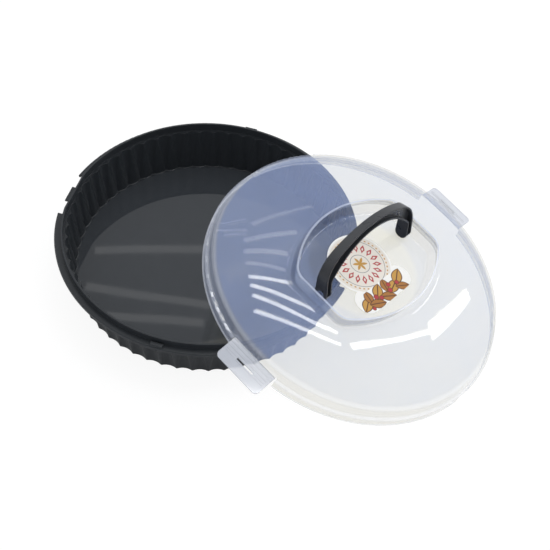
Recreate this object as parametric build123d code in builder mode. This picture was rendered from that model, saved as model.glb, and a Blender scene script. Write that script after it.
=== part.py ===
from build123d import *
import os
from math import sin, cos, asin, radians, degrees, sqrt, atan2, pi

os.makedirs("parts", exist_ok=True)

# ---------------------------------------------------------------------------
# Round cake carrier: fluted tray, lift-off domed lid with two hinged clips,
# folding handle in a well, round label.  Millimetres, +Z up.  The origin is
# the middle of the tray's underside.  The lid is stored leaning on the rim.
# ---------------------------------------------------------------------------

# ---- tray -----------------------------------------------------------------
flange_r = 160.0          # outer radius of the rim flange
flange_top = 53.5         # height of the flange's top face
flange_lip_z = 49.8       # bottom of the flange's turned-down lip
flange_t = 1.9            # flange thickness
ring_out_r = 152.7        # upstanding ring, outer radius
ring_in_r = 150.7         # upstanding ring, inner radius
tray_h = 60.5             # overall height, top of the ring
ledge_z = 51.6            # ledge between the ring and the flutes
floor_t = 2.0             # floor thickness
wall_t = 1.6              # fluted wall thickness
floor_blend = 1.0         # rounding where the flutes meet the floor

n_flutes = 56
flute_az0 = 186.586       # azimuth of one outward lobe
flute_h = pi / n_flutes   # half a flute, radians
top_lobe_r, top_cusp_r = 149.2, 146.1      # inner profile at the ledge
bot_cusp_r, bot_in_r = 142.6, 140.5        # inner profile at the floor
flute_rr = 0.9                             # rounding of the flutes' ridges

clip_az = 167.7           # azimuth of the clip lugs (and opposite)
cut_half_w = 29.0         # half width of the flange's clip cut-outs
lug_w, lug_out = 20.4, 157.0
flat_out, flat_in = 150.4, 148.6           # flats on the ring behind the lugs
lug_z0, lug_z1 = 51.9, 53.6
block_w = 13.4            # alignment blocks, a quarter turn from the lugs
block_r0, block_r1, block_z1 = 154.3, 159.0, 55.8

# ---- lid, in its own frame: u across the clips, v across the notches ------
lid_c = (154.726, -49.055, 42.240)         # middle of the skirt's lower edge
lid_tilt = 15.249                          # tilt of the lid's axis, degrees
lid_tilt_az = -10.378                      # world azimuth it tilts towards
lid_u_az = 61.5                            # turn of u about the lid's axis

band_r = 159.5            # lower skirt band, outer radius
band_h = 9.6              # its height
skirt_r0, skirt_r1 = 156.6, 155.0          # upper skirt band, bottom and top
shoulder_z = 21.6
lid_t = 1.5               # lid wall thickness
dome_mid = (112.0, 36.3)
dome_end = (40.0, 45.6)

well_floor_z = 35.0
well_lip_z = 54.0
well_half_u = 78.5        # flat ends of the well's lip
well_half_v = 61.0        # crown of the well's curved sides
well_arc_c = 56.0         # centre offset of those curves
well_corner = 16.0
well_draft = 3.4          # the well's floor is this much smaller all round
collar_top, collar_foot = 2.0, 5.6         # collar outside the lip
collar_foot_z = 40.5
collar_blend = 7.0        # the dome runs up into the collar

# ---- clips ----------------------------------------------------------------
hinge_u, hinge_z = 155.8, 12.2
bead_r, groove_r = 1.10, 1.17
clip_w = 55.0
clip_l = 25.4
clip_t = 1.6
clip_slot = 12.9          # slot centre, from the hinge axis
slot_w, slot_h = 21.6, 2.5
clip_open = 11.0          # stored angle below the lid's plane
pad_top, pad_u = 16.7, 156.8

# ---- notches in the skirt, a quarter turn from the clips -------------------
notch_az, notch_w = 89.0, 19.4

# ---- handle ---------------------------------------------------------------
pivot_z = 43.7
pivot_v = 3.2
handle_lean = 18.5        # stored lean from upright, towards +v
handle_rise = 53.0        # outer crown above the pivot
handle_half = 70.2        # outer faces of the legs
handle_arc_r = 129.8      # radius of the crown's outer arc
handle_side_r = 29.2      # radius of the outer shoulders
leg_depth, crown_depth = 8.0, 9.0          # outer to inner face
inner_arc_r, inner_side_r = 81.8, 5.0
handle_w0, handle_w1 = 14.6, 8.6           # width across, at the pivot and at the crown
handle_skin = 1.6
handle_web = 2.2
hub_r = 4.6               # solid boss round each pivot
pin_r, pin_hole_r = 3.0, 3.06
pin_in = 65.6             # the lid's pivot pins reach in to here
boss_r, boss_in = 4.6, 70.5                # their shoulders

# ---- label ----------------------------------------------------------------
label_t = 0.3
label_r, label_pos = 35.5, (-0.5, 4.6)     # round part
tab_r, tab_len, tab_pos = 14.0, 50.0, (-2.5, -30.0)   # rounded tab below it


# ---------------------------------------------------------------------------
# frames
# ---------------------------------------------------------------------------
def _frame():
    th, ph = radians(lid_tilt), radians(lid_tilt_az)
    n = Vector(sin(th) * cos(ph), sin(th) * sin(ph), cos(th))
    e1 = Vector(cos(th) * cos(ph), cos(th) * sin(ph), -sin(th))
    e2 = n.cross(e1)
    a = radians(lid_u_az)
    u = e1 * cos(a) + e2 * sin(a)
    return u, n


LU, LN = _frame()
LV = LN.cross(LU)
LID = Plane(origin=lid_c, x_dir=LU, z_dir=LN)


def lid_point(u, v, z):
    return Vector(*lid_c) + LU * u + LV * v + LN * z


# section plane of the lid: x = u, y = lid axis
LID_UZ = Plane(origin=lid_c, x_dir=LU, z_dir=LV * -1)


def polar(r, a):
    return (r * cos(a), r * sin(a))


def lobe_arcs(r_lobe, r_tip, rr):
    """Outward lobes meeting at rounded inward ridges.  Returns the lobe's
    circle (centre radius, radius) and the tangent point of the rounding."""
    L, b, h = r_lobe, r_tip + rr, flute_h
    R = (L * L + b * b - 2 * b * L * cos(h) - rr * rr) / (2 * (L + rr - b * cos(h)))
    a = L - R
    cx, cy = b * cos(h), b * sin(h)
    d = sqrt((cx - a) ** 2 + cy ** 2)
    return a, R, (a + R * (cx - a) / d, R * cy / d)


def dip_arcs(r_tip, r_in, rr):
    """Inward arcs meeting at rounded outward ridges, centred on azimuth 0.
    Returns the ridge's centre radius and the tangent point."""
    b, l, h = r_tip - rr, r_in, flute_h
    R = (b * b + l * l - 2 * b * l * cos(h) - rr * rr) / (2 * (b * cos(h) + rr - l))
    cx, cy = (l + R) * cos(h), (l + R) * sin(h)
    d = sqrt((cx - b) ** 2 + cy ** 2)
    return b, R, (l + R), (b + rr * (cx - b) / d, rr * cy / d)


def rot(p, a):
    return (p[0] * cos(a) - p[1] * sin(a), p[0] * sin(a) + p[1] * cos(a))


def flute_segments(kind, r1, r2, rr):
    """Half-flute arcs, as (start, middle, end) for azimuth 0 to flute_h."""
    h = flute_h
    if kind == "lobe":
        a, R, T = lobe_arcs(r1, r2, rr)
        t = atan2(T[1], T[0] - a)
        m1 = (a + R * cos(t / 2), R * sin(t / 2))
        p0, p2 = (r1, 0.0), polar(r2, h)
        b = r2 + rr
        c = polar(b, h)
        a0, a1 = atan2(T[1] - c[1], T[0] - c[0]), atan2(p2[1] - c[1], p2[0] - c[0])
        if a1 - a0 > pi:
            a1 -= 2 * pi
        if a0 - a1 > pi:
            a0 -= 2 * pi
        am = (a0 + a1) / 2
        m2 = (c[0] + rr * cos(am), c[1] + rr * sin(am))
        return [(p0, m1, T), (T, m2, p2)]
    b, R, ac, T = dip_arcs(r1, r2, rr)
    p0, p2 = (r1, 0.0), polar(r2, h)
    t = atan2(T[1], T[0] - b)
    m1 = (b + rr * cos(t / 2), rr * sin(t / 2))
    c = polar(ac, h)
    a0, a1 = atan2(T[1] - c[1], T[0] - c[0]), atan2(p2[1] - c[1], p2[0] - c[0])
    if a1 - a0 > pi:
        a1 -= 2 * pi
    if a0 - a1 > pi:
        a0 -= 2 * pi
    am = (a0 + a1) / 2
    m2 = (c[0] + R * cos(am), c[1] + R * sin(am))
    return [(p0, m1, T), (T, m2, p2)]


def mirror_y(p):
    return (p[0], -p[1])


def flute_ring(kind, r1, r2, rr):
    """All the arcs of the closed fluted outline, in order."""
    half = flute_segments(kind, r1, r2, rr)
    other = [(mirror_y(e), mirror_y(m), mirror_y(s)) for s, m, e in reversed(half)]
    arcs = []
    for k in range(n_flutes):
        a = radians(flute_az0) + 2 * flute_h * k
        for s, m, e in other + half:
            arcs.append((rot(s, a), rot(m, a), rot(e, a)))
    return arcs


def draw_flutes(kind, r1, r2, rr):
    arcs = flute_ring(kind, r1, r2, rr)
    start = arcs[0][0]
    here = start
    for i, (s, m, e) in enumerate(arcs):
        end = start if i == len(arcs) - 1 else e
        ThreePointArc(here, m, end)
        here = end


# ---------------------------------------------------------------------------
# base_tray
# ---------------------------------------------------------------------------
with BuildPart() as base_tray:
    # outside of the fluted wall, with a small rounding at the foot
    with BuildSketch(Plane.XY.offset(1.4)):
        with BuildLine():
            draw_flutes("dip", bot_cusp_r + wall_t, bot_in_r + wall_t, flute_rr + 0.9)
        make_face()
    with BuildSketch(Plane.XY.offset(ledge_z - 0.4)):
        with BuildLine():
            draw_flutes("lobe", top_lobe_r + wall_t, top_cusp_r + wall_t, 0.5)
        make_face()
    loft(ruled=True)
    with BuildSketch(Plane.XY):
        with BuildLine():
            draw_flutes("dip", bot_cusp_r + wall_t - 1.2, bot_in_r + wall_t - 1.2, flute_rr + 0.7)
        make_face()
    with BuildSketch(Plane.XY.offset(1.4)):
        with BuildLine():
            draw_flutes("dip", bot_cusp_r + wall_t, bot_in_r + wall_t, flute_rr + 0.9)
        make_face()
    loft(ruled=True)
    # ledge, ring and flange with its turned-down lip
    with BuildSketch(Plane.XZ) as rim_section:
        with BuildLine():
            Polyline(
                (143.0, ledge_z - 2.0), (ring_out_r, ledge_z - 2.0),
                (ring_out_r + 1.2, flange_top - flange_t),
                (flange_r - 1.8, flange_top - flange_t),
                (flange_r - 1.8, flange_lip_z), (flange_r, flange_lip_z),
                (flange_r, flange_top), (ring_out_r, flange_top),
                (ring_out_r, tray_h), (ring_in_r, tray_h),
                (ring_in_r, ledge_z), (143.0, ledge_z), close=True)
        make_face()
        corners = rim_section.vertices()
        fillet(corners.filter_by(lambda p: abs(p.X - flange_r) < 0.01 and abs(p.Z - flange_top) < 0.01
                                 or abs(p.X - flange_r) < 0.01 and abs(p.Y - flange_top) < 0.01), 1.1)
    revolve(axis=Axis.Z)
    # inside of the tray
    with BuildSketch(Plane.XY.offset(floor_t)):
        with BuildLine():
            draw_flutes("dip", bot_cusp_r, bot_in_r, flute_rr)
        make_face()
    with BuildSketch(Plane.XY.offset(ledge_z)):
        with BuildLine():
            draw_flutes("lobe", top_lobe_r, top_cusp_r, flute_rr)
        make_face()
    loft(ruled=True, mode=Mode.SUBTRACT)

    # clip cut-outs in the flange, down to the ring
    with BuildSketch(Plane.XY.offset(ledge_z - 2.5)) as cutouts:
        with PolarLocations(158.0, 2, start_angle=clip_az):
            Rectangle(14.0, 2 * cut_half_w)
        Circle(ring_out_r + 0.3, mode=Mode.SUBTRACT)
        fillet(cutouts.vertices().filter_by(lambda p: p.X ** 2 + p.Y ** 2 < 156 ** 2), 2.2)
    extrude(amount=flange_top - ledge_z + 3.0, mode=Mode.SUBTRACT)
    # the ring runs straight behind each lug
    flat_half = sqrt(ring_in_r ** 2 - flat_in ** 2)
    with BuildSketch(Plane.XY.offset(ledge_z - 0.6)):
        with PolarLocations((flat_in + ring_in_r + 0.6) / 2, 2, start_angle=clip_az):
            Rectangle(ring_in_r + 0.6 - flat_in, 2 * flat_half)
    extrude(amount=tray_h - ledge_z + 0.6)
    with BuildSketch(Plane.XY.offset(ledge_z - 0.6)):
        with PolarLocations(flat_out + 5.0, 2, start_angle=clip_az):
            Rectangle(10.0, 2 * cut_half_w - 2.0)
    extrude(amount=tray_h - ledge_z + 1.0, mode=Mode.SUBTRACT)
    # clip lugs on the ring, with a lead-in on their lower outer edge
    with BuildSketch(Plane.XY.offset(lug_z0)):
        with PolarLocations((flat_out - 0.5 + lug_out) / 2, 2, start_angle=clip_az):
            Rectangle(lug_out - flat_out + 0.5, lug_w)
    extrude(amount=lug_z1 - lug_z0)
    # alignment blocks on the flange
    with BuildSketch(Plane.XY.offset(flange_top - 0.6)) as blocks:
        with PolarLocations((block_r0 + block_r1) / 2, 2, start_angle=clip_az + 90):
            Rectangle(block_r1 - block_r0, block_w)
    extrude(amount=block_z1 - flange_top + 0.6)
    chamfer(base_tray.edges().filter_by(lambda e: abs(e.center().Z - block_z1) < 0.01), 0.5)
    # rounding between the floor and the flutes
    fillet(base_tray.edges().filter_by(
        lambda e: abs(e.center().Z - floor_t) < 0.01 and 138 < sqrt(e.center().X ** 2 + e.center().Y ** 2) < 145),
        floor_blend)

base_tray.part.label = "base_tray"


# ---------------------------------------------------------------------------
# lid_shell: the hollow below it is made first, as a body to cut away
# ---------------------------------------------------------------------------
def draw_well(d):
    """Outline of the well, d outside its lip; drawn in the active line."""
    hu, rad = well_half_u + d, well_half_v + well_arc_c + d
    vc = sqrt(rad ** 2 - hu ** 2) - well_arc_c
    ThreePointArc((hu, vc), (0, well_half_v + d), (-hu, vc))
    Line((-hu, vc), (-hu, -vc))
    ThreePointArc((-hu, -vc), (0, -well_half_v - d), (hu, -vc))
    Line((hu, -vc), (hu, vc))


def below(e, z):
    c = (e.center() - Vector(*lid_c)).dot(LN)
    return abs(c - z) < 0.05


def at_collar_foot(e):
    d = e.center() - Vector(*lid_c)
    z = d.dot(LN)
    return 36 < z < 46 and 60 < (d - LN * z).length < 100


with BuildPart() as well_space:        # the well itself
    with BuildSketch(LID.offset(well_floor_z)) as s1:
        with BuildLine():
            draw_well(-well_draft)
        make_face()
        fillet(s1.vertices(), well_corner - well_draft)
    with BuildSketch(LID.offset(well_lip_z + 1.0)) as s2:
        with BuildLine():
            draw_well(0.2)
        make_face()
        fillet(s2.vertices(), well_corner + 0.2)
    loft(ruled=True)
    fillet(well_space.edges().filter_by(lambda e: below(e, well_floor_z)), 2.0)

with BuildPart() as well_outside:      # the underside of the well's walls
    with BuildSketch(LID.offset(well_floor_z - lid_t)) as s3:
        with BuildLine():
            draw_well(lid_t - well_draft - 0.1)
        make_face()
        fillet(s3.vertices(), well_corner + lid_t - well_draft)
    with BuildSketch(LID.offset(well_lip_z)) as s4:
        with BuildLine():
            draw_well(lid_t)
        make_face()
        fillet(s4.vertices(), well_corner + lid_t)
    loft(ruled=True)
    fillet(well_outside.edges().filter_by(lambda e: below(e, well_floor_z - lid_t)), 3.2)

with BuildPart() as pivot_bosses:      # stubs that end in the well's walls
    for sgn in (1, -1):
        for r, inner in ((boss_r, boss_in), (pin_r, pin_in)):
            with BuildSketch(Plane(origin=lid_point(sgn * inner, pivot_v, pivot_z),
                                   x_dir=LV, z_dir=LU * sgn)):
                Circle(r)
            extrude(amount=80.0 - inner)
    add(well_outside.part, mode=Mode.INTERSECT)

with BuildPart() as lid_space:         # everything under the lid
    with BuildSketch(LID_UZ):
        with BuildLine():
            Polyline((0, -2), (band_r - lid_t, -2), (band_r - lid_t, band_h - 1.2),
                     (skirt_r0 - lid_t, band_h - 0.4), (skirt_r1 - lid_t, shoulder_z - 1.7))
            ThreePointArc((skirt_r1 - lid_t, shoulder_z - 1.7), (dome_mid[0] - 0.5, dome_mid[1] - lid_t),
                          (dome_end[0], dome_end[1] - lid_t))
            Polyline((dome_end[0], dome_end[1] - lid_t), (0, dome_end[1] - lid_t), (0, -2))
        make_face()
    revolve(axis=Axis(lid_c, LN))
    with BuildSketch(LID.offset(collar_foot_z - 1.0)) as s5:
        with BuildLine():
            draw_well(collar_foot - lid_t)
        make_face()
        fillet(s5.vertices(), well_corner + collar_foot - lid_t)
    with BuildSketch(LID.offset(well_lip_z - lid_t)) as s6:
        with BuildLine():
            draw_well(collar_top - lid_t)
        make_face()
        fillet(s6.vertices(), well_corner + collar_top - lid_t)
    loft(ruled=True)
    add(well_outside.part, mode=Mode.SUBTRACT)

with BuildPart() as lid_shell:
    # stepped skirt, rounded shoulder and low dome
    with BuildSketch(LID_UZ) as section:
        with BuildLine():
            Polyline((0, 0), (band_r, 0), (band_r, band_h), (skirt_r0, band_h + 0.7),
                     (skirt_r1, shoulder_z))
            ThreePointArc((skirt_r1, shoulder_z), dome_mid, dome_end)
            Polyline(dome_end, (0, dome_end[1]), (0, 0))
        make_face()
        fillet(section.vertices().filter_by(
            lambda p: abs(p.X - skirt_r1) < 0.01 and abs(p.Y - shoulder_z) < 0.01), 2.2)
        fillet(section.vertices().filter_by(
            lambda p: abs(p.X - band_r) < 0.01 and abs(p.Y - band_h) < 0.01), 0.7)
    revolve(axis=Axis(lid_c, LN))
    # raised collar round the well
    with BuildSketch(LID.offset(collar_foot_z)) as s7:
        with BuildLine():
            draw_well(collar_foot)
        make_face()
        fillet(s7.vertices(), well_corner + collar_foot)
    with BuildSketch(LID.offset(well_lip_z)) as s8:
        with BuildLine():
            draw_well(collar_top)
        make_face()
        fillet(s8.vertices(), well_corner + collar_top)
    loft(ruled=True)
    fillet(lid_shell.edges().filter_by(lambda e: below(e, well_lip_z)), 0.9)
    fillet(lid_shell.edges().filter_by(at_collar_foot), collar_blend)
    # hinge pads over the clips
    with BuildSketch(LID_UZ):
        for sgn in (1, -1):
            with BuildLine():
                Polyline((sgn * 140, hinge_z), (sgn * hinge_u, hinge_z), (sgn * hinge_u, hinge_z + 1.7),
                         (sgn * pad_u, hinge_z + 1.9), (sgn * pad_u, pad_top - 0.5),
                         (sgn * (pad_u - 0.5), pad_top), (sgn * 140, pad_top), close=True)
            make_face()
    extrude(amount=clip_w / 2, both=True)
    # hollow out
    add(lid_space.part, mode=Mode.SUBTRACT)
    add(well_space.part, mode=Mode.SUBTRACT)
    # skirt cut away under the pads, and notches for the alignment blocks
    with BuildSketch(LID.offset(-1.0)):
        with Locations((154.0, 0), (-154.0, 0)):
            Rectangle(24.0, 2 * cut_half_w)
    extrude(amount=hinge_z + 1.0, mode=Mode.SUBTRACT)
    with BuildSketch(LID.offset(-1.0)):
        with PolarLocations(157.5, 2, start_angle=notch_az):
            Rectangle(9.0, notch_w)
    extrude(amount=band_h + 1.0, mode=Mode.SUBTRACT)
    # round grooves that the clips' beads turn in
    with BuildSketch(LID_UZ):
        with Locations((hinge_u, hinge_z), (-hinge_u, hinge_z)):
            Circle(groove_r)
    extrude(amount=clip_w / 2 + 2, both=True, mode=Mode.SUBTRACT)
    # pivot pins with their shoulders, on the well's flat ends
    add(pivot_bosses.part)

lid_shell.part.label = "lid_shell"


# ---------------------------------------------------------------------------
# clips
# ---------------------------------------------------------------------------
def clip_planes(side):
    """Working planes of a clip: one across the hinge, one on the flap.
    On the flap, x runs out from the hinge and y along it."""
    out = LU * side
    a = radians(clip_open)
    along = LV * side
    run = out * cos(a) - LN * sin(a)
    up = out * sin(a) + LN * cos(a)
    origin = lid_point(side * hinge_u, 0, hinge_z)
    return Plane(origin=origin, x_dir=run, z_dir=along * -1), Plane(origin=origin, x_dir=run, z_dir=up)


def build_clip(side):
    across, flap = clip_planes(side)
    with BuildPart() as clip:
        # flap with its raised root steps, in section
        with BuildSketch(across):
            with BuildLine():
                Polyline((0, -clip_t / 2), (clip_l, -clip_t / 2), (clip_l, clip_t / 2),
                         (9.2, clip_t / 2), (8.6, clip_t / 2 + 0.5), (6.4, clip_t / 2 + 0.5),
                         (5.8, clip_t / 2), (4.6, clip_t / 2), (4.0, clip_t / 2 + 0.5),
                         (2.6, clip_t / 2 + 0.5), (2.0, clip_t / 2), (0, clip_t / 2), close=True)
            make_face()
        extrude(amount=clip_w / 2, both=True)
        with BuildSketch(across):
            Circle(bead_r)
        extrude(amount=clip_w / 2, both=True)
        # rounded outer corners
        fillet(clip.edges().filter_by(
            lambda e: abs(abs((e.center() - across.origin).dot(flap.y_dir)) - clip_w / 2) < 0.01
            and abs((e.center() - across.origin).dot(flap.x_dir) - clip_l) < 0.01
            and e.length < 2.5), 5.0)
        # raised frame round the slot, and thin ribs level with it
        with BuildSketch(flap.offset(clip_t / 2 - 0.2)):
            with Locations((clip_slot, 0)):
                RectangleRounded(slot_h + 2.6, slot_w + 2.6, 1.6)
        extrude(amount=0.9)
        with BuildSketch(flap.offset(clip_t / 2 - 0.2)):
            for du in (-0.9, 1.5):
                for dv in (-1, 1):
                    with Locations((clip_slot + du, dv * 18.6)):
                        Rectangle(0.8, 13.0)
        extrude(amount=0.65)
        with BuildSketch(flap.offset(-clip_t)):
            with Locations((clip_slot, 0)):
                RectangleRounded(slot_h, slot_w, 1.0)
        extrude(amount=3 * clip_t, mode=Mode.SUBTRACT)
    return clip


clip_back = build_clip(1)
clip_back.part.label = "clip_back"
clip_front = build_clip(-1)
clip_front.part.label = "clip_front"


# ---------------------------------------------------------------------------
# handle: an arch of H section that widens towards its feet
# ---------------------------------------------------------------------------
lean = radians(handle_lean)
H_UP = LN * cos(lean) + LV * sin(lean)
HANDLE = Plane(origin=lid_point(0, pivot_v, pivot_z), x_dir=LU, z_dir=LU.cross(H_UP))


def arch_points(half, rise, r_arc, r_side):
    """Crown, start, middle and end of the right shoulder of an arch."""
    k = asin((half - r_side) / (r_arc - r_side))
    cx, cy = half - r_side, rise - r_arc + (r_arc - r_side) * cos(k)
    m = (k + pi / 2) / 2
    return ((0, rise), (r_arc * sin(k), rise - r_arc + r_arc * cos(k)),
            (cx + r_side * sin(m), cy + r_side * cos(m)), (half, cy))


def draw_arch(d_out, d_in, foot):
    """Closed outline between the outer and inner arches, moved in by d_out and d_in."""
    co, so, mo, eo = arch_points(handle_half - d_out, handle_rise - d_out,
                                 handle_arc_r - d_out, handle_side_r - d_out)
    ci, si, mi, ei = arch_points(handle_half - leg_depth + d_in, handle_rise - crown_depth + d_in,
                                 inner_arc_r + d_in, inner_side_r + d_in)
    ThreePointArc((-so[0], so[1]), co, so)
    ThreePointArc(so, mo, eo)
    Polyline(eo, (eo[0], foot), (ei[0], foot), ei)
    ThreePointArc(ei, mi, si)
    ThreePointArc(si, ci, (-si[0], si[1]))
    ThreePointArc((-si[0], si[1]), (-mi[0], mi[1]), (-ei[0], ei[1]))
    Polyline((-ei[0], ei[1]), (-ei[0], foot), (-eo[0], foot), (-eo[0], eo[1]))
    ThreePointArc((-eo[0], eo[1]), (-mo[0], mo[1]), (-so[0], so[1]))


def across_handle(u):
    """Plane across the handle at u: x across its width, y up to the crown."""
    return Plane(origin=lid_point(u, pivot_v, pivot_z), x_dir=H_UP.cross(LU), z_dir=LU)


with BuildPart() as handle:
    with BuildSketch(HANDLE):
        with BuildLine():
            draw_arch(0.0, 0.0, 0.0)
        make_face()
    extrude(amount=handle_w0, both=True)
    # width falls evenly from the feet to the crown
    slope = (handle_w0 - handle_w1) / 2 / handle_rise
    with BuildSketch(across_handle(-90.0)):
        with BuildLine():
            Polyline((-handle_w0 / 2 - 4 * slope, -4), (handle_w0 / 2 + 4 * slope, -4),
                     (handle_w1 / 2 - 4 * slope, handle_rise + 4),
                     (-handle_w1 / 2 + 4 * slope, handle_rise + 4), close=True)
        make_face()
    extrude(amount=180.0, mode=Mode.INTERSECT)
    # round feet about the pivot
    for u in (handle_half - leg_depth, -handle_half):
        with BuildSketch(across_handle(u)):
            Circle(handle_w0 / 2)
        extrude(amount=leg_depth)
    # channels on both faces
    for side in (1, -1):
        with BuildSketch(HANDLE.offset(side * handle_web / 2)):
            with BuildLine():
                draw_arch(handle_skin, handle_skin, -1.0)
            make_face()
        extrude(amount=side * handle_w0, mode=Mode.SUBTRACT)
    # solid bosses round the pivots, with a blind hole in each outer face
    for u in (handle_half - leg_depth, -handle_half):
        with BuildSketch(across_handle(u)):
            Circle(hub_r)
        extrude(amount=leg_depth)
    for u, depth in ((handle_half + 1.0, pin_in - 0.4 - handle_half - 1.0),
                     (-handle_half - 1.0, handle_half + 1.0 - pin_in + 0.4)):
        with BuildSketch(across_handle(u)):
            Circle(pin_hole_r)
        extrude(amount=depth, mode=Mode.SUBTRACT)

handle.part.label = "handle"


# ---------------------------------------------------------------------------
# label on the well's floor
# ---------------------------------------------------------------------------
with BuildPart() as lid_label:
    with BuildSketch(LID.offset(well_floor_z)):
        with Locations(label_pos):
            Circle(label_r)
        with Locations(tab_pos):
            SlotCenterToCenter(tab_len, 2 * tab_r)
    extrude(amount=label_t)

lid_label.part.label = "lid_label"


# ---------------------------------------------------------------------------
# files
# ---------------------------------------------------------------------------
for piece in (base_tray, lid_shell, clip_front, clip_back, handle, lid_label):
    part = piece.part
    print(part.label, "valid", part.is_valid, "solids", len(part.solids()), "volume", round(part.volume))

export_step(base_tray.part, "parts/base_tray.step")
export_step(lid_shell.part, "parts/lid_shell.step")
export_step(clip_front.part, "parts/clip_front.step")
export_step(clip_back.part, "parts/clip_back.step")
export_step(handle.part, "parts/handle.step")
export_step(lid_label.part, "parts/lid_label.step")
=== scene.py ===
import math
import bpy
import bmesh
import numpy as np
from mathutils import Matrix, Vector

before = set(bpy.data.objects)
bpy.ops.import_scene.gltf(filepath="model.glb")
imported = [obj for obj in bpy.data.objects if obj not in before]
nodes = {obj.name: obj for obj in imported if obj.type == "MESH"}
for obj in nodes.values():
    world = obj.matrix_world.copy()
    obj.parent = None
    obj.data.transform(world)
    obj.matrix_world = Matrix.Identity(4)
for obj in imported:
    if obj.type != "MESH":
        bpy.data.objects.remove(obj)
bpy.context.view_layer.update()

scene = bpy.context.scene

# the lid's frame: middle of the skirt's lower edge, u across the clips, n up its axis
LID_C = Vector((0.154726, -0.049055, 0.042240))
TH, PH, UA = math.radians(15.249), math.radians(-10.378), math.radians(61.5)
LN = Vector((math.sin(TH) * math.cos(PH), math.sin(TH) * math.sin(PH), math.cos(TH)))
E1 = Vector((math.cos(TH) * math.cos(PH), math.cos(TH) * math.sin(PH), -math.sin(TH)))
E2 = LN.cross(E1)
LU = E1 * math.cos(UA) + E2 * math.sin(UA)
LV = LN.cross(LU)

# camera -------------------------------------------------------------------
pos = Vector((0.075240, -0.764470, 0.953336))
right = Vector((0.99617913, 0.06851583, 0.05415468))
up = Vector((-0.08733355, 0.78153294, 0.61772091))
fwd = Vector((0.0, 0.62009019, -0.78453053))
cam_data = bpy.data.cameras.new("camera")
cam = bpy.data.objects.new("camera", cam_data)
scene.collection.objects.link(cam)
m = Matrix((right, up, -fwd)).transposed().to_4x4()
m.translation = pos
cam.matrix_world = m
cam_data.sensor_width = 36.0
cam_data.lens = 36.0 * 1117.085 / 550.0
cam_data.clip_start = 0.05
cam_data.clip_end = 20.0
scene.camera = cam


# node helpers -------------------------------------------------------------
class Nodes:
    def __init__(self, name):
        self.mat = bpy.data.materials.new(name)
        self.mat.use_nodes = True
        self.nt = self.mat.node_tree
        self.nt.nodes.clear()
        self.out = self.nt.nodes.new("ShaderNodeOutputMaterial")

    def add(self, kind, **sockets):
        n = self.nt.nodes.new(kind)
        for k, v in sockets.items():
            self.set(n, k, v)
        return n

    def set(self, n, k, v):
        s = n.inputs[int(k[1:])] if k[0] == "_" and k[1:].isdigit() else n.inputs[k.replace("_", " ")]
        if isinstance(v, bpy.types.NodeSocket):
            self.nt.links.new(v, s)
        else:
            s.default_value = v
        return n

    def math(self, op, a, b=None, c=None, clamp=False):
        n = self.nt.nodes.new("ShaderNodeMath")
        n.operation = op
        n.use_clamp = clamp
        for i, v in enumerate((a, b, c)):
            if v is None:
                continue
            if isinstance(v, bpy.types.NodeSocket):
                self.nt.links.new(v, n.inputs[i])
            else:
                n.inputs[i].default_value = v
        return n.outputs[0]

    def vmath(self, op, a, b=None):
        n = self.nt.nodes.new("ShaderNodeVectorMath")
        n.operation = op
        for i, v in enumerate((a, b)):
            if v is None:
                continue
            if isinstance(v, bpy.types.NodeSocket):
                self.nt.links.new(v, n.inputs[i])
            else:
                n.inputs[i].default_value = v
        return n

    def dot(self, a, b):
        return self.vmath("DOT_PRODUCT", a, b).outputs["Value"]

    def position(self):
        """Object coordinates: they move with the piece."""
        return self.add("ShaderNodeTexCoord").outputs["Object"]

    def noise(self, vec, scale, detail=3.0, rough=0.5):
        return self.add("ShaderNodeTexNoise", Vector=vec, Scale=scale, Detail=detail, Roughness=rough).outputs["Fac"]

    def ramp(self, fac, stops, interp="LINEAR"):
        n = self.nt.nodes.new("ShaderNodeValToRGB")
        n.color_ramp.interpolation = interp
        els = n.color_ramp.elements
        while len(els) < len(stops):
            els.new(0.5)
        for e, (p, c) in zip(els, stops):
            e.position = p
            e.color = c if len(c) == 4 else (*c, 1.0)
        self.nt.links.new(fac, n.inputs["Fac"])
        return n.outputs["Color"]

    def mixc(self, fac, a, b, blend="MIX"):
        n = self.nt.nodes.new("ShaderNodeMix")
        n.data_type = "RGBA"
        n.blend_type = blend
        for k, v in ((0, fac), (6, a), (7, b)):
            if isinstance(v, bpy.types.NodeSocket):
                self.nt.links.new(v, n.inputs[k])
            else:
                n.inputs[k].default_value = v if k == 0 or len(v) == 4 else (*v, 1.0)
        return n.outputs[2]

    def lerp(self, fac, a, b):
        n = self.nt.nodes.new("ShaderNodeMapRange")
        self.set(n, "Value", fac)
        self.set(n, "To_Min", a)
        self.set(n, "To_Max", b)
        return n.outputs[0]

    def maprange(self, v, lo, hi, a=0.0, b=1.0, smooth=False):
        n = self.nt.nodes.new("ShaderNodeMapRange")
        if smooth:
            n.interpolation_type = "SMOOTHSTEP"
        for k, x in (("Value", v), ("From_Min", lo), ("From_Max", hi), ("To_Min", a), ("To_Max", b)):
            self.set(n, k, x)
        return n.outputs[0]

    def bump(self, height, dist, strength=1.0, normal=None):
        n = self.add("ShaderNodeBump", Height=height, Distance=dist, Strength=strength)
        if normal is not None:
            self.nt.links.new(normal, n.inputs["Normal"])
        return n.outputs["Normal"]

    def surface(self, shader):
        self.nt.links.new(shader.outputs[0], self.out.inputs["Surface"])
        return self.mat


def put(obj, *mats):
    obj.data.materials.clear()
    for mt in mats:
        obj.data.materials.append(mt)


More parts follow.
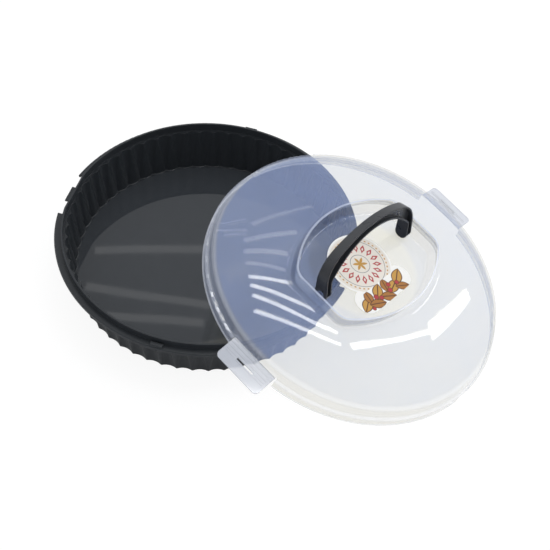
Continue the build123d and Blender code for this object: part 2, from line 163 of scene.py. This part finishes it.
# tray: charcoal polypropylene, polished floor and satin walls ---------------
def tray_material():
    M = Nodes("tray_plastic")
    P = M.position()
    mid = M.noise(P, 45.0, 3.0, 0.5)
    broad = M.noise(P, 10.0, 0.5, 0.4)
    sep = M.add("ShaderNodeSeparateXYZ", Vector=P)
    x, y, z = sep.outputs
    r = M.math("SQRT", M.math("ADD", M.math("MULTIPLY", x, x), M.math("MULTIPLY", y, y)))
    on_floor = M.math("MULTIPLY", M.maprange(r, 0.1385, 0.1410, 1.0, 0.0), M.maprange(z, 0.0030, 0.0040, 1.0, 0.0))
    b = M.add("ShaderNodeBsdfPrincipled")
    # painted shade: off the polished floor (walls, rim, outer faces) the same plastic gets about half the floor's base
    # colour, so it reads as shaded there
    M.set(b, "Base_Color", M.mixc(on_floor, M.mixc(mid, (0.017, 0.020, 0.024), (0.021, 0.024, 0.028)), M.mixc(mid, (0.034, 0.038, 0.044), (0.039, 0.044, 0.051))))
    rough = M.lerp(on_floor, M.maprange(mid, 0.3, 0.7, 0.29, 0.33), M.maprange(mid, 0.3, 0.7, 0.025, 0.04))
    M.set(b, "Roughness", rough)
    M.set(b, "IOR", 1.39)
    # the moulded floor is not quite flat
    sway = M.math("SUBTRACT", broad, 0.5)
    soft = M.add("ShaderNodeBevel", Radius=0.0006)
    soft.samples = 6
    # rounded edges at the rim and the floor; the flutes keep their own shape
    edge = M.math("ADD", M.maprange(z, 0.0440, 0.0450), M.maprange(z, 0.0042, 0.0052, 1.0, 0.0))
    mixn = M.nt.nodes.new("ShaderNodeMix")
    mixn.data_type = "VECTOR"
    M.nt.links.new(edge, mixn.inputs[0])
    M.nt.links.new(M.add("ShaderNodeNewGeometry").outputs["Normal"], mixn.inputs[4])
    M.nt.links.new(soft.outputs[0], mixn.inputs[5])
    n1 = M.bump(M.math("MULTIPLY", sway, on_floor), 0.00012, 1.0, mixn.outputs[1])
    M.set(b, "Normal", n1)
    return M.surface(b)


# lid: milky clear polypropylene --------------------------------------------
def lid_material(name, body, pale, tint, share, gloss_rough, wave, slant, edges=None):
    """body: colour of the light scattered back; pale: the same at a slant and in the
    painted highlight lines; tint: of what passes straight; share: how much one face scatters;
    slant: more at a slant; edges: builds the painted highlight lines along the moulded edges."""
    M = Nodes(name)
    P = M.position()
    mid = M.noise(P, 30.0, 3.0, 0.5)
    soft = M.noise(P, 9.0, 1.0, 0.4)
    n1 = M.bump(soft, wave)
    rel = M.vmath("SUBTRACT", P, tuple(LID_C)).outputs[0]
    u, v, n = M.dot(rel, tuple(LU)), M.dot(rel, tuple(LV)), M.dot(rel, tuple(LN))
    b = M.add("ShaderNodeBsdfPrincipled")
    painted_lines = edges(M, u, v, n) if edges else None
    t = M.add("ShaderNodeBsdfTransparent", Color=(*tint, 1.0))
    if edges:
        # the skirt is crossed more often, and the well's floor is clearer
        r = M.math("SQRT", M.math("ADD", M.math("MULTIPLY", u, u), M.math("MULTIPLY", v, v)))
        skirt = M.maprange(r, 0.1500, 0.1520)
        upright = M.dot(M.add("ShaderNodeNewGeometry").outputs["Normal"], tuple(LN))
        steep = M.maprange(M.math("ABSOLUTE", upright), 0.35, 0.75, 1.0, 0.0)
        well = M.math("MULTIPLY", steep, M.maprange(r, 0.095, 0.100, 1.0, 0.0))
        M.set(t, "Color", M.mixc(M.math("MAXIMUM", skirt, well), tint, (0.985, 0.970, 0.912)))
        share = M.math("ADD", M.math("MULTIPLY", skirt, -0.05), M.maprange(r, 0.056, 0.062, share - 0.05, share))
        share = M.math("SUBTRACT", share, M.math("MULTIPLY", well, 0.05))
    face = M.add("ShaderNodeLayerWeight", Blend=0.5, Normal=n1).outputs["Facing"]
    more = M.math("MULTIPLY", M.math("POWER", face, 3.0), slant)
    # painted highlight lines along the lid's edges add pale scatter here
    if painted_lines is not None:
        more = M.math("ADD", more, painted_lines)
    fac = M.math("ADD", more, share)
    base = M.mixc(mid, tuple(c * 0.96 for c in body), body)
    if edges:
        base = M.mixc(skirt, base, (0.56, 0.66, 0.98))
    M.set(b, "Base_Color", M.mixc(M.math("DIVIDE", more, fac), base, pale))
    M.set(b, "Roughness", M.maprange(mid, 0.3, 0.7, 0.45, 0.6))
    M.set(b, "Specular_IOR_Level", 0.0)
    # light spreads inside the milky wall, so upright faces are lit from above as well
    lit = M.vmath("NORMALIZE", M.vmath("ADD", n1, tuple(LN)).outputs[0]).outputs[0]
    M.set(b, "Normal", lit)
    fac = M.math("MULTIPLY", fac, M.maprange(mid, 0.2, 0.8, 0.94, 1.06), clamp=True)
    inner = M.add("ShaderNodeMixShader", Fac=fac)
    M.nt.links.new(t.outputs[0], inner.inputs[1])
    M.nt.links.new(b.outputs[0], inner.inputs[2])
    g = M.add("ShaderNodeBsdfGlossy", Color=(1, 1, 1, 1), Roughness=gloss_rough, Normal=n1)
    schlick = M.math("ADD", M.math("MULTIPLY", M.math("POWER", face, 5.0), 0.06), 0.04)
    shell = M.add("ShaderNodeMixShader", Fac=schlick)
    M.nt.links.new(inner.outputs[0], shell.inputs[1])
    M.nt.links.new(g.outputs[0], shell.inputs[2])
    # lamps reach what is under the lid
    lp = M.add("ShaderNodeLightPath")
    clear = M.add("ShaderNodeBsdfTransparent", Color=(0.97, 0.97, 0.97, 1.0))
    through = M.math("MAXIMUM", lp.outputs["Is Shadow Ray"], lp.outputs["Is Diffuse Ray"])
    last = M.add("ShaderNodeMixShader", Fac=through)
    M.nt.links.new(shell.outputs[0], last.inputs[1])
    M.nt.links.new(clear.outputs[0], last.inputs[2])
    return M.surface(last)


def lid_edge_highlights(M, u, v, n):
    """Thin painted highlight lines, as extra pale scatter: the well's lip, the shoulder, the skirt's step and its lower
    edge.
    """
    r = M.math("SQRT", M.math("ADD", M.math("MULTIPLY", u, u), M.math("MULTIPLY", v, v)))

    def band(x, a, b, soft):
        return M.math("MULTIPLY", M.maprange(x, a - soft, a + soft), M.maprange(x, b - soft, b + soft, 1.0, 0.0))

    # each band is a painted highlight line of near-white scatter
    lip = M.math("MULTIPLY", M.maprange(n, 0.0532, 0.0538), 0.22)
    outside = M.maprange(r, 0.150, 0.152)
    shoulder = M.math("MULTIPLY", M.math("MULTIPLY", band(n, 0.0198, 0.0216, 0.0003), outside), 0.10)
    step = M.math("MULTIPLY", M.math("MULTIPLY", band(n, 0.0086, 0.0104, 0.0003), outside), 0.08)
    foot = M.math("MULTIPLY", M.math("MULTIPLY", M.maprange(n, 0.0006, 0.0010, 1.0, 0.0), outside), 0.16)
    return M.math("ADD", M.math("ADD", lip, shoulder), M.math("ADD", step, foot))


# handle --------------------------------------------------------------------
def handle_material():
    M = Nodes("handle_plastic")
    P = M.position()
    mid = M.noise(P, 80.0, 3.0, 0.5)
    b = M.add("ShaderNodeBsdfPrincipled")
    M.set(b, "Base_Color", M.mixc(mid, (0.021, 0.023, 0.027), (0.026, 0.028, 0.033)))
    M.set(b, "Roughness", M.maprange(mid, 0.3, 0.7, 0.26, 0.36))
    M.set(b, "IOR", 1.5)
    soft = M.add("ShaderNodeBevel", Radius=0.0006)
    soft.samples = 6
    M.set(b, "Normal", M.bump(mid, 0.00006, 1.0, soft.outputs[0]))
    return M.surface(b)


# label: coated paper with a plain printed pattern ---------------------------
def label_material():
    M = Nodes("label_paper")
    P = M.position()
    rel = M.vmath("SUBTRACT", P, tuple(LID_C)).outputs[0]
    u = M.dot(rel, tuple(LU))
    v = M.dot(rel, tuple(LV))
    b = M.add("ShaderNodeBsdfPrincipled")
    M.set(b, "Base_Color", label_design(M, u, v))
    M.set(b, "Roughness", M.maprange(M.noise(P, 300.0), 0.3, 0.7, 0.38, 0.5))
    M.set(b, "IOR", 1.45)
    M.set(b, "Normal", M.bump(M.noise(P, 1500.0, 3.0), 0.000008))
    return M.surface(b)


def label_design(M, u, v):
    """A cream disc with dotted and lozenge rings, above a spray of leaves and berries."""
    cream, white = (0.74, 0.69, 0.63), (0.84, 0.83, 0.81)
    red, gold, brown, ink = (0.40, 0.035, 0.040), (0.50, 0.27, 0.055), (0.10, 0.032, 0.014), (0.075, 0.085, 0.12)

    def radius(cu, cv):
        du, dv = M.math("SUBTRACT", u, cu), M.math("SUBTRACT", v, cv)
        return M.math("SQRT", M.math("ADD", M.math("MULTIPLY", du, du), M.math("MULTIPLY", dv, dv))), du, dv

    def band(x, a, b, soft=0.00012):
        return M.math("MULTIPLY", M.maprange(x, a - soft, a + soft), M.maprange(x, b - soft, b + soft, 1.0, 0.0))

    def leaf(col, cu, cv, turn, long, wide, tone, vein):
        _, du, dv = radius(cu, cv)
        c, s = math.cos(turn), math.sin(turn)
        a = M.math("ADD", M.math("MULTIPLY", du, c / long), M.math("MULTIPLY", dv, s / long))
        w = M.math("ADD", M.math("MULTIPLY", du, -s / wide), M.math("MULTIPLY", dv, c / wide))
        shape = M.math("ADD", M.math("MULTIPLY", a, a), M.math("ABSOLUTE", w))
        col = M.mixc(M.maprange(shape, 0.97, 1.03, 1.0, 0.0), col, vein)
        col = M.mixc(M.maprange(shape, 0.80, 0.86, 1.0, 0.0), col, tone)
        line = M.math("MULTIPLY", M.maprange(shape, 0.72, 0.80, 1.0, 0.0), M.maprange(M.math("ABSOLUTE", w), 0.07, 0.13, 1.0, 0.0))
        return M.mixc(line, col, vein)

    r, du, dv = radius(-0.0005, 0.0046)
    col = M.mixc(M.maprange(r, 0.0331, 0.0335, 1.0, 0.0), white, cream)
    ang = M.math("DIVIDE", M.math("ARCTAN2", dv, du), 2 * math.pi)
    # a ring of lozenges, between fine lines
    cell = M.math("ABSOLUTE", M.math("SUBTRACT", M.math("FRACT", M.math("MULTIPLY", ang, 16.0)), 0.5))
    rad = M.math("ABSOLUTE", M.math("DIVIDE", M.math("SUBTRACT", r, 0.0190), 0.0062))
    lozenge = M.math("ADD", M.math("MULTIPLY", cell, 2.4), rad)
    col = M.mixc(M.maprange(lozenge, 0.82, 0.90, 1.0, 0.0), col, red)
    col = M.mixc(M.maprange(lozenge, 0.34, 0.42, 1.0, 0.0), col, cream)
    col = M.mixc(band(r, 0.0270, 0.0275), col, ink)
    col = M.mixc(band(r, 0.0104, 0.0109), col, ink)
    beads = M.math("FRACT", M.math("MULTIPLY", ang, 40.0))
    col = M.mixc(M.math("MULTIPLY", band(r, 0.0292, 0.0306), band(beads, 0.28, 0.72, 0.05)), col, gold)
    petals = M.math("ABSOLUTE", M.math("SUBTRACT", M.math("FRACT", M.math("MULTIPLY", ang, 6.0)), 0.5))
    star = M.math("ADD", M.math("MULTIPLY", petals, 1.5), M.math("DIVIDE", r, 0.0086))
    col = M.mixc(M.maprange(star, 0.95, 1.03, 1.0, 0.0), col, gold)
    # the tab: a spray of leaves with berries
    tab = M.mixc(0.0, white, white)
    for cu, cv, turn, long, wide, tone in LEAVES:
        tab = leaf(tab, cu, cv, turn, long, wide, tone, brown)
    for cu, cv, size in BERRIES:
        q, _, _ = radius(cu, cv)
        tab = M.mixc(M.maprange(q, size - 0.00012, size + 0.00012, 1.0, 0.0), tab, brown)
        tab = M.mixc(M.maprange(q, size * 0.80 - 0.00012, size * 0.80 + 0.00012, 1.0, 0.0), tab, red)
    on_tab = M.maprange(v, -0.0220, -0.0216, 1.0, 0.0)
    return M.mixc(on_tab, col, tab)


GOLD_A, GOLD_B = (0.52, 0.28, 0.055), (0.36, 0.15, 0.030)
LEAVES = ((-0.0315, -0.0330, 0.55, 0.0100, 0.0060, GOLD_A), (-0.0240, -0.0280, 1.35, 0.0085, 0.0052, GOLD_B),
          (-0.0205, -0.0385, -0.45, 0.0100, 0.0056, GOLD_B), (-0.0105, -0.0290, 0.75, 0.0100, 0.0060, GOLD_A),
          (-0.0040, -0.0395, -0.55, 0.0100, 0.0056, GOLD_B), (0.0020, -0.0285, 1.25, 0.0085, 0.0052, GOLD_B),
          (0.0095, -0.0345, 0.35, 0.0105, 0.0060, GOLD_A), (0.0185, -0.0400, -0.50, 0.0085, 0.0048, GOLD_B),
          (0.0215, -0.0290, 0.60, 0.0105, 0.0062, GOLD_A))
BERRIES = ((-0.0165, -0.0322, 0.0030), (-0.0120, -0.0362, 0.0028), (0.0028, -0.0355, 0.0030), (0.0060, -0.0300, 0.0027),
           (0.0162, -0.0335, 0.0027), (-0.0285, -0.0402, 0.0022))


tray, lid = nodes["base_tray"], nodes["lid_shell"]
put(tray, tray_material())
put(lid, lid_material("lid_plastic", (0.38, 0.52, 1.0), (0.97, 0.98, 1.0), (0.98, 0.957, 0.855), 0.178, 0.035, 0.00006, 0.05, lid_edge_highlights))
clip_mat = lid_material("clip_plastic", (0.57, 0.60, 0.68), (0.70, 0.72, 0.76), (0.95, 0.94, 0.92), 0.52, 0.07, 0.00004, 0.15)
put(nodes["clip_front"], clip_mat)
put(nodes["clip_back"], clip_mat)
put(nodes["handle"], handle_material())
put(nodes["lid_label"], label_material())

# floor and light ----------------------------------------------------------
scene.view_settings.view_transform = "Standard"
world = bpy.data.worlds.new("world")
scene.world = world
world.use_nodes = True
# a pale ceiling, dimmer towards the horizon and towards the viewer's side
wt = world.node_tree
bg = wt.nodes["Background"]
sky = wt.nodes.new("ShaderNodeTexCoord").outputs["Generated"]
split = wt.nodes.new("ShaderNodeSeparateXYZ")
wt.links.new(sky, split.inputs[0])


def world_range(v, lo, hi, a, b):
    n = wt.nodes.new("ShaderNodeMapRange")
    n.interpolation_type = "SMOOTHSTEP"
    wt.links.new(v, n.inputs["Value"])
    for k, x in (("From Min", lo), ("From Max", hi), ("To Min", a), ("To Max", b)):
        n.inputs[k].default_value = x
    return n.outputs[0]


glow = wt.nodes.new("ShaderNodeMath")
glow.operation = "MULTIPLY"
height = world_range(split.outputs[2], -0.1, 0.75, 0.30, 0.95)
wt.links.new(world_range(split.outputs[1], 0.1, 0.7, 0.30, 0.85), height.node.inputs["To Min"])
wt.links.new(height, glow.inputs[0])
wt.links.new(world_range(split.outputs[1], -0.9, 0.3, 0.60, 1.0), glow.inputs[1])
wt.links.new(glow.outputs[0], bg.inputs["Strength"])
bg.inputs["Color"].default_value = (0.97, 0.985, 1.0, 1)


def lamp(name, at, size, radiance, xdir, towards, colour=(1, 1, 1)):
    """A long soft box: at its middle, facing towards, xdir along its length."""
    d = bpy.data.lights.new(name, "AREA")
    d.shape = "RECTANGLE"
    d.size, d.size_y = size
    d.energy = radiance * math.pi * size[0] * size[1]
    d.color = colour
    o = bpy.data.objects.new(name, d)
    scene.collection.objects.link(o)
    z = -Vector(towards).normalized()
    x = Vector(xdir)
    x = (x - z * x.dot(z)).normalized()
    y = z.cross(x)
    mt = Matrix((x, y, z)).transposed().to_4x4()
    mt.translation = Vector(at)
    o.matrix_world = mt
    o.visible_camera = False
    return o


def strip(name, a, b, width, radiance, z=1.5):
    """A ceiling strip light from a to b (x, y)."""
    a, b = Vector((*a, z)), Vector((*b, z))
    return lamp(name, (a + b) / 2, ((b - a).length, width), radiance, b - a, (0, 0, -1))


# straight ceiling strips: four bright rows, a long one to the side in two lengths, seven faint rows
for k, (a, b, w, s) in enumerate((
        ((-0.038, 0.430), (0.400, 0.480), 0.036, 8.5),
        ((-0.020, 0.340), (0.620, 0.300), 0.040, 8.5),
        ((0.000, 0.235), (0.810, 0.130), 0.042, 8.5),
        ((0.012, 0.075), (0.844, 0.005), 0.040, 8.5),
        ((0.950, 0.030), (2.050, 0.680), 0.080, 8.5),
        ((2.050, 0.680), (4.500, 2.950), 0.300, 8.5),
        ((-0.060, 1.150), (0.630, 1.640), 0.060, 1.3),
        ((-0.120, 0.880), (0.500, 1.110), 0.063, 1.6),
        ((-0.107, 0.730), (0.407, 0.805), 0.060, 1.6),
        ((-0.078, 0.585), (0.360, 0.605), 0.042, 1.6),
        ((-0.436, 1.200), (-0.126, 1.246), 0.026, 1.2),
        ((-0.440, 1.075), (-0.094, 1.045), 0.026, 1.2),
        ((-0.384, 0.984), (-0.106, 0.984), 0.026, 1.2))):
    strip("strip_%d" % k, a, b, w, s)
# four low soft boxes all round: fill on upright faces, without mirror images of their own
for k in range(4):
    t = math.radians(20 + 90 * k)
    away = Vector((math.cos(t), math.sin(t), 0.0))
    fill = lamp("fill_%d" % k, Vector((0.08, -0.03, 0.42)) + away * 1.8, (2.2, 0.75), 1.7, (-away.y, away.x, 0.0), -away - Vector((0, 0, 0.2)))
    fill.visible_glossy = False

M = Nodes("floor_paper")
P = M.position()
b = M.add("ShaderNodeBsdfPrincipled")
seen = M.add("ShaderNodeLightPath").outputs["Is Camera Ray"]
M.set(b, "Base_Color", M.mixc(seen, M.mixc(M.noise(P, 6.0), (0.60, 0.60, 0.60), (0.62, 0.62, 0.62)), (0.14, 0.14, 0.14)))
M.set(b, "Roughness", 0.9)
M.set(b, "Specular_IOR_Level", 0.0)
M.set(b, "Emission_Color", (1.0, 1.0, 1.0, 1.0))
M.set(b, "Emission_Strength", M.math("MULTIPLY", seen, 0.88))
floor_mat = M.surface(b)
bm = bmesh.new()
bmesh.ops.create_grid(bm, x_segments=4, y_segments=4, size=4.0)
me = bpy.data.meshes.new("floor")
bm.to_mesh(me)
bm.free()
floor = bpy.data.objects.new("floor", me)
scene.collection.objects.link(floor)
floor.data.materials.append(floor_mat)
